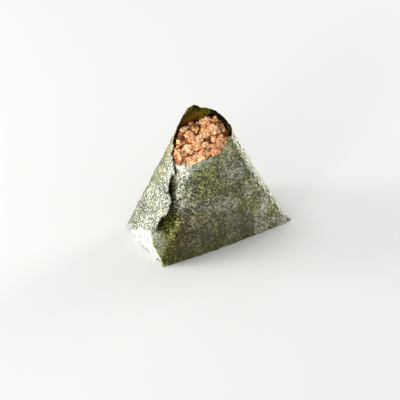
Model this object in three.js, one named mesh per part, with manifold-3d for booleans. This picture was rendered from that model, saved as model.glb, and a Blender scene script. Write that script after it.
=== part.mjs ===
// Onigiri: a block of pressed rice in the shape of a steep triangle, wrapped once round in a
// single sheet of nori whose last hand's breadth laps over its first, and open at the top on a
// filling of flaked salmon.
//
// Millimetres, +Z up. The origin is the middle of the rice's flat base, +X runs along the foot of
// the front face towards its right end, and the front face looks along -Y.
//
// A place on the wrap is given by two numbers. The first is the running station, which goes once
// round the body in eight steps, anticlockwise seen from above: 0 to 1 is the front left corner,
// 1 to 2 the front, 2 to 3 the front right corner, 3 to 4 the right end, 4 to 5 the back right
// corner, 5 to 6 the back, 6 to 7 the back left corner and 7 to 8 the left end. The second is
// the height.

import * as THREE from 'three';
import { mergeVertices } from 'three/addons/utils/BufferGeometryUtils.js';
import Module from 'manifold-3d';

// ---- driving dimensions -------------------------------------------------------------------

const STATIONS = 8; // running stations in one turn

const BODY = {
  tall: 88, // highest point of the nori above the table
  shoulder: 80, // the ends lean inwards up to here and stand upright above
  soften: 5, // height over which they change from one to the other
  bulge: 1.6, // how far each face swells between its corners
  bulgeFull: 40, // shortest face that swells by all of that
  cutAtFoot: 5, // rounding of the upright corners at the foot
  cutGrowth: 0.165, // and how much it grows for each mm of height
  cutMost: 0.42, // the most of a face's width that one corner takes
};

// Each corner: where it stands on the table, how much it leans in for each mm of height along X,
// how far it comes in along Y by the top, and which way is inwards.
const CORNERS = [
  { name: 'front left', x: -47.0, y: -23.0, lean: 0.365, crown: 11.5, inX: 1, inY: 1 },
  { name: 'front right', x: 47.8, y: -22.5, lean: -0.486, crown: 12.4, inX: -1, inY: 1 },
  { name: 'back right', x: 48.5, y: 22.0, lean: -0.455, crown: -9.5, inX: -1, inY: -1 },
  { name: 'back left', x: -50.4, y: 23.0, lean: 0.432, crown: -10.5, inX: 1, inY: -1 },
];

const GAP = 0.3; // clearance between neighbouring pieces

const NORI = {
  thick: 0.6,
  columns: 86,
  rows: 12,
  cockle: 0.3, // half height of the sheet's cockles
  lap: 0.9, // how far the outer end rides over the inner end
  spring: 1.3, // further stand-off of its free edge
  lift: 2.6, // and of its free lower corner
  endSpread: 2.0, // stations over which the slant of an end dies out
};

// Corners of the sheet that were pinched out when it was folded round the foot: station and the
// pull along X and Y.
const TIPS = [
  { station: 2.55, x: 2.9, y: -0.5 },
  { station: 6.5, x: -0.9, y: 0.3 },
];
const TIP_WIDTH = 0.33; // spread in stations
const TIP_HEIGHT = 6; // and in mm of height

// Edges of the sheet, as [station, height]. Its foot lies along the table at the front and climbs
// at the back and the left, because it is wound on askew. The first and last stations are also
// where the two ends of the sheet would be if they were cut square.
const FOOT_EDGE = [
  [-0.8, 0.4], [4.6, 0.4], [5.4, 1.4], [6.2, 3.0], [6.5, 3.0], [6.75, 4.4],
  [6.95, 7.0], [7.15, 10], [7.45, 14.4], [7.85, 22],
];
const TOP_EDGE = [
  [-0.8, 50], [0.0, 56], [0.28, 60.5], [0.52, 65], [0.78, 66.5], [1.2, 67.8], [1.6, 68.6],
  [1.9, 69.6], [2.1, 71.3], [2.25, 73.6], [2.45, 76], [2.8, 77], [3.5, 76.6], [4.0, 76.6],
  [4.3, 78], [4.6, 80], [5.0, 83.6], [5.3, 85.6], [5.7, 86.9], [6.0, 87.3], [6.2, 85.6],
  [6.4, 81.5], [6.62, 75], [6.85, 69], [7.05, 65.6], [7.6, 62], [8.05, 55.5],
];
const FIRST_STATION = -0.8;
const LAST_STATION = 8.1;
// Ends of the sheet, as [share of its height, station]: the inner end slants back under the lap,
// the outer end is torn a little unevenly.
const INNER_END = [
  [0, 0.65], [0.07, 0.25], [0.11, -0.04], [0.16, -0.2], [0.22, -0.3], [0.3, -0.42],
  [0.6, -0.6], [1, -0.72],
];
const OUTER_END = [
  [0, 7.86], [0.07, 7.86], [0.14, 7.88], [0.3, 7.95], [0.45, 8.09], [0.55, 8.08],
  [0.63, 8.1], [0.7, 7.93], [0.81, 7.84], [0.9, 7.85], [0.97, 7.96], [1, 8.0],
];

const RICE = {
  top: 60, // the block's upper face, under the filling
  footRound: 6, // rounding of the lower edge
  topRound: 2.5, // rounding of the upper edge
  columns: 72,
  sideRings: 9,
  roundRings: 3,
  grainLong: 5.8,
  grainThick: 2.7,
  grainPitch: 4.4, // spacing of the grains that show, along a row
  rowPitch: 2.8, // and from row to row
  grainRows: 7,
  lowestRow: 2.2,
  bareFrom: 5.6, // station where the bare strip under the sheet's foot begins
  sink: 0.7, // how far a grain's middle lies inside the block's face
};

const FILLING = {
  inset: 2.0, // how far its side stays inside the wrap's outline
  level: 66.3, // height of its surface in the middle
  slope: 0.36, // rise for each mm towards the back
  rise: 0.024, // and for its square
  skew: 0.05, // rise for each mm towards the right
  skewFrom: -4, // place along X that the skew is counted from
  mound: { x: 9, y: 8, high: 3.5, wide: 5.5 }, // extra heap at the back right
  dent: { x: 14, y: -1, deep: 4.6, wide: 5.2 }, // hollow where it falls away from the wrap at the right
  edgeDrop: 1.4, // how much lower the surface is at the wrap
  cornerDrop: 3.6, // and at the front left corner, where the sheet's edge dips
  cornerWide: 9, // width of that dip
  cornerStation: 0.2,
  least: 62.2, // the lowest that its surface gets
  footRound: 1.2, // height of the slope at its foot
  footIn: 2.6, // and how far it comes in there
  columns: 40,
  rings: 6,
  roomHigh: 20, // height of the room above the rice that it stays within
  crumbPitch: 4.1,
  crumbRow: 0.87, // spacing of their rows, as a share of the pitch
  crumbJostle: 0.3, // and how far they are moved about, likewise
  crumbSize: [4.2, 5.8],
  crumbSink: 0.6, // how far a crumb's middle lies below the surface
  crumbUneven: 0.8, // and how much that varies
};

const SEED = 20417;

// ---- small tools ---------------------------------------------------------------------------

const wasm = await Module();
wasm.setup();

const { clamp, lerp, smoothstep } = THREE.MathUtils;

// Numbers from 0 to 1 in a fixed order.
function seededRandom(seed) {
  let state = seed >>> 0;
  return () => {
    state = (Math.imul(state, 1664525) + 1013904223) >>> 0;
    return state / 4294967296;
  };
}

// Smooth curve through [position, value] stations, with the slope at each taken from its
// neighbours.
function through(stations, at) {
  const last = stations.length - 1;
  const position = clamp(at, stations[0][0], stations[last][0]);
  let i = 0;
  while (i < last - 1 && position > stations[i + 1][0]) i += 1;
  const slope = (k) => {
    const before = stations[Math.max(k - 1, 0)];
    const after = stations[Math.min(k + 1, last)];
    return (after[1] - before[1]) / (after[0] - before[0]);
  };
  const [from, to] = [stations[i], stations[i + 1]];
  const width = to[0] - from[0];
  const t = (position - from[0]) / width;
  const t2 = t * t;
  const t3 = t2 * t;
  return (2 * t3 - 3 * t2 + 1) * from[1] + (t3 - 2 * t2 + t) * width * slope(i)
    + (3 * t2 - 2 * t3) * to[1] + (t3 - t2) * width * slope(i + 1);
}

// Bell of height 1 at zero.
function bell(distance, width) {
  return Math.exp(-((distance / width) ** 2));
}

// ---- the shape of the body -----------------------------------------------------------------

// Height that still counts for the lean: all of it below the shoulder, none of it above.
function reach(height) {
  return height - BODY.soften * Math.log1p(Math.exp((height - BODY.shoulder) / BODY.soften));
}

function cornerAt(index, height, inset) {
  const corner = CORNERS[(index + CORNERS.length) % CORNERS.length];
  const rise = (height / BODY.tall) ** 2;
  return new THREE.Vector2(
    corner.x + corner.lean * reach(height) + corner.inX * inset,
    corner.y + corner.crown * rise + corner.inY * inset,
  );
}

// Point of the body's outline at a running station and height, moved inwards by inset: corners
// are parabolic arcs, faces swell between them.
function outline(station, height, inset = 0) {
  const turn = ((station % STATIONS) + STATIONS) % STATIONS;
  const index = Math.floor(turn / 2);
  const share = turn - 2 * index;
  const before = cornerAt(index - 1, height, inset);
  const corner = cornerAt(index, height, inset);
  const after = cornerAt(index + 1, height, inset);
  const cut = BODY.cutAtFoot + BODY.cutGrowth * reach(height);
  const towards = (from, to) => {
    const way = to.clone().sub(from);
    const most = BODY.cutMost * way.length();
    const length = cut / (1 + (cut / most) ** 4) ** 0.25;
    return from.clone().addScaledVector(way.normalize(), length);
  };
  const arcStart = towards(corner, before);
  const arcEnd = towards(corner, after);
  const point = new THREE.Vector2();
  if (share < 1) {
    point.addScaledVector(arcStart, (1 - share) ** 2);
    point.addScaledVector(corner, 2 * share * (1 - share));
    point.addScaledVector(arcEnd, share ** 2);
  } else {
    const nextStart = towards(after, corner);
    const t = share - 1;
    const side = nextStart.clone().sub(arcEnd);
    const outwards = new THREE.Vector2(side.y, -side.x).normalize();
    const swell = BODY.bulge * Math.min(1, side.length() / BODY.bulgeFull) * 4 * t * (1 - t);
    point.copy(arcEnd).addScaledVector(side, t).addScaledVector(outwards, swell);
  }
  return new THREE.Vector3(point.x, point.y, height);
}

// Middle of the outline at a height.
function middle(height) {
  const sum = new THREE.Vector2();
  for (let k = 0; k < CORNERS.length; k += 1) sum.add(cornerAt(k, height, 0));
  sum.divideScalar(CORNERS.length);
  return new THREE.Vector3(sum.x, sum.y, height);
}

// The outline as a ring of points, evenly spaced in running stations.
function ringAround(height, inset, count) {
  const stations = Array.from({ length: count }, (_, k) => (k * STATIONS) / count);
  return stations.map((station) => outline(station, height, inset));
}

// ---- solids --------------------------------------------------------------------------------

function toManifold(geometry) {
  const bare = new THREE.BufferGeometry();
  bare.setAttribute('position', geometry.getAttribute('position').clone());
  if (geometry.index) bare.setIndex(geometry.index.clone());
  const merged = mergeVertices(bare, 1e-4);
  return new wasm.Manifold(new wasm.Mesh({
    numProp: 3,
    vertProperties: new Float32Array(merged.getAttribute('position').array),
    triVerts: new Uint32Array(merged.index.array),
  }));
}

// The one body that is left when loose scraps are dropped.
function largestBody(manifold) {
  return manifold.decompose().reduce((best, body) => (body.volume() > best.volume() ? body : best));
}

function toGeometry(manifold) {
  const mesh = manifold.getMesh();
  const geometry = new THREE.BufferGeometry();
  geometry.setAttribute('position', new THREE.BufferAttribute(new Float32Array(mesh.vertProperties), 3));
  geometry.setIndex(new THREE.BufferAttribute(new Uint32Array(mesh.triVerts), 1));
  return geometry;
}

function geometryFrom(points, triangles) {
  const geometry = new THREE.BufferGeometry();
  geometry.setFromPoints(points);
  geometry.setIndex(triangles);
  return geometry;
}

// Closed solid from rings of equal count, anticlockwise seen from above and listed from the
// lowest to the highest, with a point to close each end.
function ringSolid(bottomPoint, rings, topPoint) {
  const count = rings[0].length;
  const points = [bottomPoint, ...rings.flat(), topPoint];
  const topIndex = points.length - 1;
  const triangles = [];
  const at = (ring, k) => 1 + ring * count + (k % count);
  for (let k = 0; k < count; k += 1) {
    triangles.push(0, at(0, k + 1), at(0, k));
    triangles.push(topIndex, at(rings.length - 1, k), at(rings.length - 1, k + 1));
    for (let ring = 0; ring < rings.length - 1; ring += 1) {
      triangles.push(at(ring, k), at(ring, k + 1), at(ring + 1, k + 1));
      triangles.push(at(ring, k), at(ring + 1, k + 1), at(ring + 1, k));
    }
  }
  return geometryFrom(points, triangles);
}

// Thin closed sheet from a grid: face(column, row, side) gives the outer point for side 0 and the
// inner point for side 1. Both faces are split into triangles alike.
function sheetSolid(columns, rows, face) {
  const points = [];
  for (const side of [0, 1]) {
    for (let row = 0; row <= rows; row += 1) {
      for (let column = 0; column <= columns; column += 1) points.push(face(column, row, side));
    }
  }
  const half = (columns + 1) * (rows + 1);
  const at = (column, row, side) => side * half + row * (columns + 1) + column;
  const triangles = [];
  const quad = (a, b, c, d) => triangles.push(a, b, c, a, c, d);
  for (let row = 0; row < rows; row += 1) {
    for (let column = 0; column < columns; column += 1) {
      const [a, b] = [at(column, row, 0), at(column + 1, row, 0)];
      const [c, d] = [at(column + 1, row + 1, 0), at(column, row + 1, 0)];
      triangles.push(a, b, c, a, c, d);
      triangles.push(a + half, c + half, b + half, a + half, d + half, c + half);
    }
  }
  for (let column = 0; column < columns; column += 1) {
    quad(at(column, 0, 1), at(column + 1, 0, 1), at(column + 1, 0, 0), at(column, 0, 0));
    quad(at(column, rows, 0), at(column + 1, rows, 0), at(column + 1, rows, 1), at(column, rows, 1));
  }
  for (let row = 0; row < rows; row += 1) {
    quad(at(0, row, 1), at(0, row, 0), at(0, row + 1, 0), at(0, row + 1, 1));
    quad(at(columns, row, 0), at(columns, row, 1), at(columns, row + 1, 1), at(columns, row + 1, 0));
  }
  return geometryFrom(points, triangles);
}

// ---- nori ----------------------------------------------------------------------------------

// How far the sheet's outer face stands off the body's outline.
function noriStandOff(station, height, share) {
  const lapping = smoothstep(station, 6.9, 7.35);
  const freeEnd = smoothstep(station, 7.3, 8.0);
  const low = 1 - smoothstep(share, 0.05, 0.95);
  const cockles = Math.sin(2.1 * station + 0.11 * height) * Math.sin(0.9 * station - 0.17 * height + 1)
    + 0.5 * Math.sin(5.3 * station + 0.07 * height + 2);
  return NORI.lap * lapping + (NORI.spring + NORI.lift * low) * freeEnd
    + (NORI.cockle * cockles) / 1.5;
}

// Running station of a column of the sheet at a share of its height: even steps, drawn over
// towards the slanted ends.
function noriStation(columnShare, share) {
  const even = lerp(FIRST_STATION, LAST_STATION, columnShare);
  const nearStart = Math.max(0, 1 - (even - FIRST_STATION) / NORI.endSpread);
  const nearEnd = Math.max(0, 1 - (LAST_STATION - even) / NORI.endSpread);
  return even + (through(INNER_END, share) - FIRST_STATION) * nearStart
    + (through(OUTER_END, share) - LAST_STATION) * nearEnd;
}

function noriPoint(column, row, side) {
  const share = row / NORI.rows;
  const station = noriStation(column / NORI.columns, share);
  const foot = through(FOOT_EDGE, station);
  const height = lerp(foot, through(TOP_EDGE, station), share);
  const point = outline(station, height, side * NORI.thick - noriStandOff(station, height, share));
  for (const tip of TIPS) {
    const pull = bell(station - tip.station, TIP_WIDTH) * Math.exp((foot - height) / TIP_HEIGHT);
    point.x += tip.x * pull;
    point.y += tip.y * pull;
  }
  return point;
}

function makeNori() {
  return sheetSolid(NORI.columns, NORI.rows, noriPoint);
}

// ---- rice ----------------------------------------------------------------------------------

const RICE_INSET = NORI.thick + NORI.cockle + GAP; // the block's face inside the wrap's outline

function riceCore() {
  const rings = [];
  const addRing = (height, inset) => {
    rings.push(ringAround(height, RICE_INSET + inset, RICE.columns));
  };
  const sideLow = RICE.footRound;
  const sideHigh = RICE.top - RICE.topRound;
  for (let k = RICE.roundRings; k > 0; k -= 1) {
    const angle = (Math.PI / 2) * (k / RICE.roundRings);
    addRing(sideLow * (1 - Math.sin(angle)), RICE.footRound * (1 - Math.cos(angle)));
  }
  for (let k = 0; k < RICE.sideRings; k += 1) addRing(lerp(sideLow, sideHigh, k / RICE.sideRings), 0);
  for (let k = 0; k <= RICE.roundRings; k += 1) {
    const angle = (Math.PI / 2) * (k / RICE.roundRings);
    addRing(sideHigh + RICE.topRound * Math.sin(angle), RICE.topRound * (1 - Math.cos(angle)));
  }
  return toManifold(ringSolid(middle(0), rings, middle(RICE.top)));
}

// One cooked grain along X: a spindle with blunt ends, thirty triangles.
function grainShape(long, thick) {
  const sides = 5;
  const rings = [];
  for (const [along, wide] of [[-0.32, 0.8], [0.02, 1], [0.34, 0.76]]) {
    const ring = [];
    for (let k = 0; k < sides; k += 1) {
      const angle = (2 * Math.PI * k) / sides;
      ring.push(new THREE.Vector3(
        wide * (thick / 2) * Math.cos(angle),
        wide * (thick / 2) * Math.sin(angle),
        along * long,
      ));
    }
    rings.push(ring);
  }
  const shape = ringSolid(new THREE.Vector3(0, 0, -long / 2), rings, new THREE.Vector3(0, 0, long / 2));
  return shape.rotateY(Math.PI / 2);
}

// Frame on the body's face at a station and height: along the face, outwards, and up it.
function faceFrame(station, height, inset) {
  const here = outline(station, height, inset);
  const along = outline(station + 0.02, height, inset).sub(outline(station - 0.02, height, inset)).normalize();
  const up = outline(station, height + 1, inset).sub(here).normalize();
  const outwards = along.clone().cross(up).normalize();
  return { here, along, up, outwards };
}

// Is the block bare around this place, for a piece that reaches out by room? The lap's foot covers
// what is above it, and the sheet's inner end what is ahead of it.
function isBare(station, height, room) {
  const here = outline(station, height);
  const sheetStart = STATIONS + through(INNER_END, height / through(TOP_EDGE, -0.4));
  const ahead = outline(sheetStart, height).distanceTo(here);
  return height < through(FOOT_EDGE, station) - room && station < sheetStart && ahead > room;
}

function riceGrains() {
  const random = seededRandom(SEED);
  const grains = [];
  const place = (station, height, angle, sink) => {
    const frame = faceFrame(station, height, RICE_INSET + sink);
    const lying = frame.along.clone().multiplyScalar(Math.cos(angle))
      .addScaledVector(frame.up, Math.sin(angle)).normalize();
    const across = frame.outwards.clone().cross(lying).normalize();
    const turn = new THREE.Matrix4().makeBasis(lying, across, frame.outwards);
    turn.setPosition(frame.here);
    const size = 0.88 + 0.24 * random();
    const grain = grainShape(RICE.grainLong * size, RICE.grainThick * (0.92 + 0.16 * random()));
    grains.push(toManifold(grain.applyMatrix4(turn)));
  };
  // The bare strip: rows of grains from the table up to the sheet's foot.
  for (let row = 0; row < RICE.grainRows; row += 1) {
    const height = RICE.lowestRow + row * RICE.rowPitch;
    let station = RICE.bareFrom;
    while (station < STATIONS + 1) {
      const stationLength = outline(station, height).distanceTo(outline(station + 0.05, height)) / 0.05;
      station += RICE.grainPitch / stationLength;
      const angle = (random() - 0.5) * 2.6;
      const half = 0.5 * RICE.grainLong * Math.abs(Math.sin(angle)) + 0.5 * RICE.grainThick;
      const level = Math.max(height + (random() - 0.5) * 1.4, GAP + half);
      const sink = RICE.sink + (random() - 0.5) * 0.5;
      if (isBare(station, level, half + 1.2)) place(station, level, angle, sink);
    }
  }
  // The corner of the block that shows between the filling and the sheet's lowest top edge.
  for (const [station, height, angle] of [
    [0.1, 58.4, 0.25], [0.38, 59.2, -0.2], [7.84, 58.0, 0.5],
  ]) {
    place(station, height, angle, 1.6);
  }
  return grains;
}

function makeRice() {
  return toGeometry(wasm.Manifold.union([riceCore(), ...riceGrains()]));
}

// ---- filling -------------------------------------------------------------------------------

// Height of the heap's surface over a place: it rises to the back and has a mound at the back
// right, a dent at the right, and falls off towards the wrap and the front left corner.
function fillingSurface(x, y, edge) {
  const { level, least, slope, rise, skew, skewFrom, mound, dent } = FILLING;
  const corner = outline(FILLING.cornerStation, level);
  const dip = FILLING.cornerDrop * bell(Math.hypot(x - corner.x, y - corner.y), FILLING.cornerWide);
  const heap = mound.high * bell(Math.hypot(x - mound.x, y - mound.y), mound.wide);
  const hollow = dent.deep * bell(Math.hypot(x - dent.x, y - dent.y), dent.wide);
  const plane = level + slope * y + rise * y ** 2 + skew * (x - skewFrom);
  return Math.max(least, plane + heap - hollow - dip - FILLING.edgeDrop * edge ** 3);
}

// The line where the heap's surface meets its side. The wrap narrows upwards, so each point is
// moved in step by step to where the outline is at its own height.
function fillingBrim() {
  const stations = Array.from({ length: FILLING.columns }, (_, k) => (k * STATIONS) / FILLING.columns);
  return stations.map((station) => {
    let point = outline(station, FILLING.level, FILLING.inset);
    for (let step = 0; step < 6; step += 1) {
      point = outline(station, fillingSurface(point.x, point.y, 1), FILLING.inset);
    }
    return point;
  });
}

function fillingCore() {
  const foot = RICE.top + GAP;
  const rings = [
    ringAround(foot, FILLING.inset + FILLING.footIn, FILLING.columns),
    ringAround(foot + FILLING.footRound, FILLING.inset, FILLING.columns),
  ];
  const centre = middle(FILLING.level);
  const brim = fillingBrim();
  for (let k = 0; k < FILLING.rings; k += 1) {
    const edge = 1 - k / FILLING.rings;
    rings.push(brim.map((point) => {
      const x = lerp(centre.x, point.x, edge);
      const y = lerp(centre.y, point.y, edge);
      return new THREE.Vector3(x, y, fillingSurface(x, y, edge));
    }));
  }
  const peak = new THREE.Vector3(centre.x, centre.y, fillingSurface(centre.x, centre.y, 0));
  return toManifold(ringSolid(middle(foot), rings, peak));
}

// Is a place inside a closed ring, seen from above?
function isInside(ring, x, y) {
  let inside = false;
  ring.forEach((to, k) => {
    const from = ring[(k + ring.length - 1) % ring.length];
    const crosses = (from.y > y) !== (to.y > y);
    if (crosses && x < from.x + ((to.x - from.x) * (y - from.y)) / (to.y - from.y)) inside = !inside;
  });
  return inside;
}

// Crumbs of flaked salmon: squashed twenty-sided lumps in staggered rows, jostled a little.
function fillingCrumbs() {
  const random = seededRandom(SEED + 1);
  const { crumbPitch: pitch, crumbJostle: jostle, crumbSize: [small, large] } = FILLING;
  const centre = middle(FILLING.level);
  const crumbs = [];
  for (let row = -6; row <= 6; row += 1) {
    for (let step = -8; step <= 8; step += 1) {
      const x = centre.x + pitch * (step + (row % 2) / 2 + jostle * (random() - 0.5));
      const y = centre.y + pitch * (FILLING.crumbRow * row + jostle * (random() - 0.5));
      const lump = new THREE.IcosahedronGeometry(lerp(small, large, random()) / 2, 0);
      lump.scale(1, 0.8 + 0.35 * random(), 0.7 + 0.3 * random());
      lump.rotateX(random() * Math.PI);
      lump.rotateZ(random() * Math.PI);
      const height = fillingSurface(x, y, 0) - FILLING.crumbSink + FILLING.crumbUneven * (random() - 0.5);
      lump.translate(x, y, height);
      const wrap = ringAround(height, RICE_INSET + 0.3 * small, FILLING.columns);
      if (isInside(wrap, x, y)) crumbs.push(toManifold(lump));
    }
  }
  return crumbs;
}

// The room inside the wrap and above the rice, which the heap stays within.
function fillingRoom() {
  const foot = RICE.top + GAP;
  const roof = foot + FILLING.roomHigh;
  const rings = [];
  for (const height of [foot, lerp(foot, roof, 1 / 3), lerp(foot, roof, 2 / 3), roof]) {
    rings.push(ringAround(height, RICE_INSET, 2 * FILLING.columns));
  }
  return toManifold(ringSolid(middle(foot), rings, middle(roof)));
}

function makeFilling() {
  const heap = wasm.Manifold.union([fillingCore(), ...fillingCrumbs()]);
  return toGeometry(largestBody(heap.intersect(fillingRoom())));
}

// ---- the part ------------------------------------------------------------------------------

function piece(name, geometry, colour, roughness) {
  const material = new THREE.MeshStandardMaterial({ color: colour, roughness, metalness: 0 });
  const mesh = new THREE.Mesh(geometry, material);
  mesh.name = name;
  return mesh;
}

const onigiri = new THREE.Group();
onigiri.name = 'onigiri';
onigiri.add(piece('rice', makeRice(), 0xf4f1e8, 0.5));
onigiri.add(piece('nori', makeNori(), 0x3d4228, 0.55));
onigiri.add(piece('filling', makeFilling(), 0xd39768, 0.6));

export default onigiri;
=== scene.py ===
# Onigiri: a steep triangle of pressed rice wrapped once round in a sheet of nori, and open at the
# top on a filling of flaked salmon.
#
# +Z is up, +X runs along the foot of the front face and -Y is where the front face looks. Sizes
# are in millimetres, and a mesh turns them into metres when it is made.

import bpy
import numpy as np
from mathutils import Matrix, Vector


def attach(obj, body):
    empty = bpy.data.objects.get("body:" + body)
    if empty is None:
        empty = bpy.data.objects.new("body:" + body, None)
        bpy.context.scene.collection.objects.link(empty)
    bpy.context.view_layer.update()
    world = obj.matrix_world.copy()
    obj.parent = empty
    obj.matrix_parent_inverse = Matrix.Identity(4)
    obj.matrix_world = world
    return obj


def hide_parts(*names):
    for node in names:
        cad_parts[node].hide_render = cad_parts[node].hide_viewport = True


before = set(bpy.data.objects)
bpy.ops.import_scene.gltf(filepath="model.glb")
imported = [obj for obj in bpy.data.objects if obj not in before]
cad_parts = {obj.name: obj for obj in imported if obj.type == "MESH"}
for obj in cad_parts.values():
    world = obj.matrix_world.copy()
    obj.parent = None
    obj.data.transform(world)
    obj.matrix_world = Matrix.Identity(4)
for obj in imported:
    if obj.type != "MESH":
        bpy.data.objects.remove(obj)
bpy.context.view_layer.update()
MM = 0.001


# ==== camera ====================================================================================
# A long lens, looking down on the front left corner.

CAMERA_TURN = np.radians(-28.5)
CAMERA_RISE = np.radians(39.0)
CAMERA_AWAY = 800.73
CAMERA_AIM = np.array([7.0, 24.74, 0.0])
SENSOR = 36.0
FRAME_WIDTHS_AWAY = 3.0

camera_back = np.array([
    np.sin(CAMERA_TURN) * np.cos(CAMERA_RISE),
    -np.cos(CAMERA_TURN) * np.cos(CAMERA_RISE),
    np.sin(CAMERA_RISE),
])
camera_data = bpy.data.cameras.new("camera")
camera_data.sensor_width = SENSOR
camera_data.lens = SENSOR * FRAME_WIDTHS_AWAY
camera = bpy.data.objects.new("camera", camera_data)
camera.location = (CAMERA_AIM + CAMERA_AWAY * camera_back) * MM
camera.rotation_euler = Vector(camera_back).to_track_quat("Z", "Y").to_euler()
bpy.context.scene.collection.objects.link(camera)
bpy.context.scene.camera = camera


# ==== table and light ===========================================================================
# A plain pale table under a bright sky. Low soft panels on the left, behind on the left and on the
# right brighten the two ends, and a smaller one high up behind on the left lights the filling, so
# the front lies in soft shade and the shadow falls forwards.


class Value:
    """A number, colour or vector that changes over a surface. Sums, differences and products of
    two of them, or of one and a plain number, add Math nodes."""

    def __init__(self, paint, socket):
        self.paint = paint
        self.socket = socket

    def maths(self, operation, first, second):
        return self.paint.add("ShaderNodeMath", {"operation": operation}, {0: first, 1: second})

    def __add__(self, other):
        return self.maths("ADD", self, other)

    def __sub__(self, other):
        return self.maths("SUBTRACT", self, other)

    def __rsub__(self, other):
        return self.maths("SUBTRACT", other, self)

    def __mul__(self, other):
        return self.maths("MULTIPLY", self, other)

    __radd__ = __add__
    __rmul__ = __mul__


class Paint:
    """A material and its node tree."""

    def __init__(self, name):
        self.material = bpy.data.materials.new(name)
        self.material.use_nodes = True
        self.tree = self.material.node_tree
        self.tree.nodes.clear()

    def add(self, kind, settings=(), sockets=(), output=0):
        """Adds a node, with its settings and the values or links of its sockets. Gives back one of
        its outputs."""
        node = self.tree.nodes.new(kind)
        for key, setting in dict(settings).items():
            setattr(node, key, setting)
        for key, value in dict(sockets).items():
            if isinstance(value, Value):
                self.tree.links.new(value.socket, node.inputs[key])
            else:
                node.inputs[key].default_value = value
        return Value(self, node.outputs[output])

    def place(self):
        """Where a point of the piece is, in metres."""
        return self.add("ShaderNodeTexCoord", output="Object")

    def kept(self, name):
        """A number kept for each point of the piece."""
        return self.add("ShaderNodeAttribute", {"attribute_name": name}, output="Fac")

    def noise(self, vector, scale, detail, output=0):
        """Cloudy value about 0.5, with lumps of one metre over the scale."""
        return self.add("ShaderNodeTexNoise", {"noise_dimensions": "3D"},
                        {"Vector": vector, "Scale": scale, "Detail": detail}, output)

    def fade(self, value, start, end):
        """Smooth step from 0 at start to 1 at end."""
        return self.add("ShaderNodeMapRange", {"interpolation_type": "SMOOTHSTEP"},
                        {"Value": value, "From Min": start, "From Max": end})

    def ramp(self, value, stops):
        """Colour that runs through (value, colour) stops."""
        colour = self.add("ShaderNodeValToRGB", sockets={"Fac": value})
        elements = colour.socket.node.color_ramp.elements
        while len(elements) < len(stops):
            elements.new(1.0)
        for element, (position, stop) in zip(elements, stops):
            element.position = position
            element.color = (*stop, 1.0)
        return colour

    def over(self, share, colour, top, blend="MIX"):
        """A colour laid over another by a share."""
        return self.add("ShaderNodeMix", {"data_type": "RGBA", "blend_type": blend},
                        {0: share, 6: colour, 7: top}, output=2)

    def bump(self, strength, deep, height):
        """Bumps of a depth in mm."""
        return self.add("ShaderNodeBump", {}, {
            "Strength": strength, "Distance": deep * MM, "Height": height})

    def shader(self, sockets):
        """A Principled shader with these sockets."""
        return self.add("ShaderNodeBsdfPrincipled", sockets=sockets)

    def finish(self, shader):
        """Ends the tree in a shader."""
        end = self.tree.nodes.new("ShaderNodeOutputMaterial")
        self.tree.links.new(shader.socket, end.inputs["Surface"])
        return self.material


TABLE_HALF = 3000.0
TABLE_COLOUR = (0.614, 0.614, 0.601, 1.0)
SKY_COLOUR = (1.0, 1.0, 1.0, 1.0)
SKY_STRENGTH = 0.73
PANELS_AIM_UP = 40.0

table_paint = Paint("table")
table_paint.finish(table_paint.shader({"Base Color": TABLE_COLOUR, "Roughness": 0.6}))
table_mesh = bpy.data.meshes.new("table")
table_corners = np.array([(-1, -1, 0), (1, -1, 0), (1, 1, 0), (-1, 1, 0)]) * TABLE_HALF * MM
table_mesh.from_pydata(table_corners.tolist(), [], [(0, 1, 2, 3)])
table_mesh.materials.append(table_paint.material)
table = bpy.data.objects.new("table", table_mesh)
bpy.context.scene.collection.objects.link(table)

sky = bpy.data.worlds.new("sky")
sky.use_nodes = True
sky.node_tree.nodes["Background"].inputs["Color"].default_value = SKY_COLOUR
sky.node_tree.nodes["Background"].inputs["Strength"].default_value = SKY_STRENGTH
bpy.context.scene.world = sky
bpy.context.scene.view_settings.view_transform = "Standard"


def soft_panel(name, turn, rise, away, width, height, watts):
    """A soft light, width by height mm, that faces the rice ball. turn and rise are in degrees, and
    a turn of 0 is straight in front and of 90 on the right."""
    a, e = np.radians(turn), np.radians(rise)
    back = Vector((np.sin(a) * np.cos(e), -np.cos(a) * np.cos(e), np.sin(e)))
    light = bpy.data.lights.new(name, "AREA")
    light.shape = "RECTANGLE"
    light.size = width * MM
    light.size_y = height * MM
    light.energy = watts
    lamp = bpy.data.objects.new(name, light)
    lamp.location = back * away * MM + Vector((0.0, 0.0, PANELS_AIM_UP * MM))
    lamp.rotation_euler = back.to_track_quat("Z", "Y").to_euler()
    bpy.context.scene.collection.objects.link(lamp)


soft_panel("panel_window", turn=-120, rise=5.5, away=1100, width=460, height=260, watts=18)
soft_panel("panel_left", turn=-60, rise=5, away=1200, width=260, height=200, watts=9)
soft_panel("panel_right", turn=98, rise=5, away=1200, width=500, height=240, watts=19)
soft_panel("panel_above", turn=-125, rise=60, away=1300, width=420, height=420, watts=7.0)


# ==== rice ======================================================================================
# Short-grain rice pressed into a block: a foot about 100 by 46 mm, ends that lean in steeply and
# a narrow top. Where the nori leaves it bare, at the foot of the left end and the back and at the
# front left corner of the top, its grains show, moist and a little see-through.

STATIONS = 8
TALL = 88.0
SHOULDER = 80.0
SHOULDER_SOFT = 5.0
BULGE = 1.6
BULGE_FULL = 40.0
CUT_AT_FOOT = 5.0
CUT_GROWTH = 0.165
CUT_MOST = 0.42

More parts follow.
